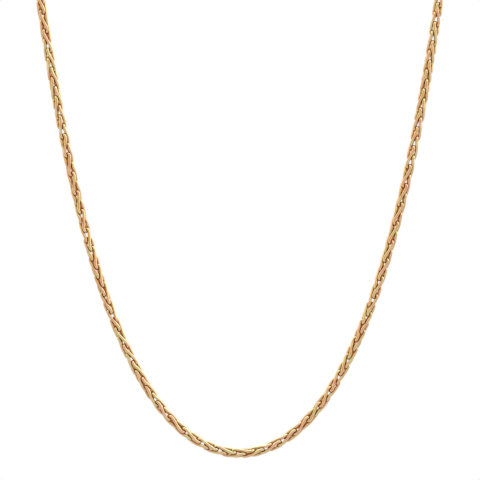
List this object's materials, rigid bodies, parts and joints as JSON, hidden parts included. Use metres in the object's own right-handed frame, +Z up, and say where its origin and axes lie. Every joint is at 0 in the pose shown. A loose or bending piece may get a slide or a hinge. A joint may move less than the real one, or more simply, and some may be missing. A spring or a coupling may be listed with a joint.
{
  "type": "foxtail chain",
  "caption": "Gold foxtail neck chain of twisted interlocking links, hanging in a free curve and closed at the nape by a plain ring clasp.",
  "frame": {"origin": "the nape, where the closed chain hangs on the back of the neck, in the middle of the clasp's end of the loop", "axes": "+Z up, -Y the way the wearer faces (the front stretch hangs at -Y), +X to the right of someone who looks at the front"},
  "size_m": [0.1136, 0.0751, 0.1486],
  "materials": {
    "gold": "polished"
  },
  "bodies": {
    "root": {"chain_left": "gold", "chain_right": "gold", "clasp": "gold", "end_ring": "gold"}
  },
  "joints": []
}
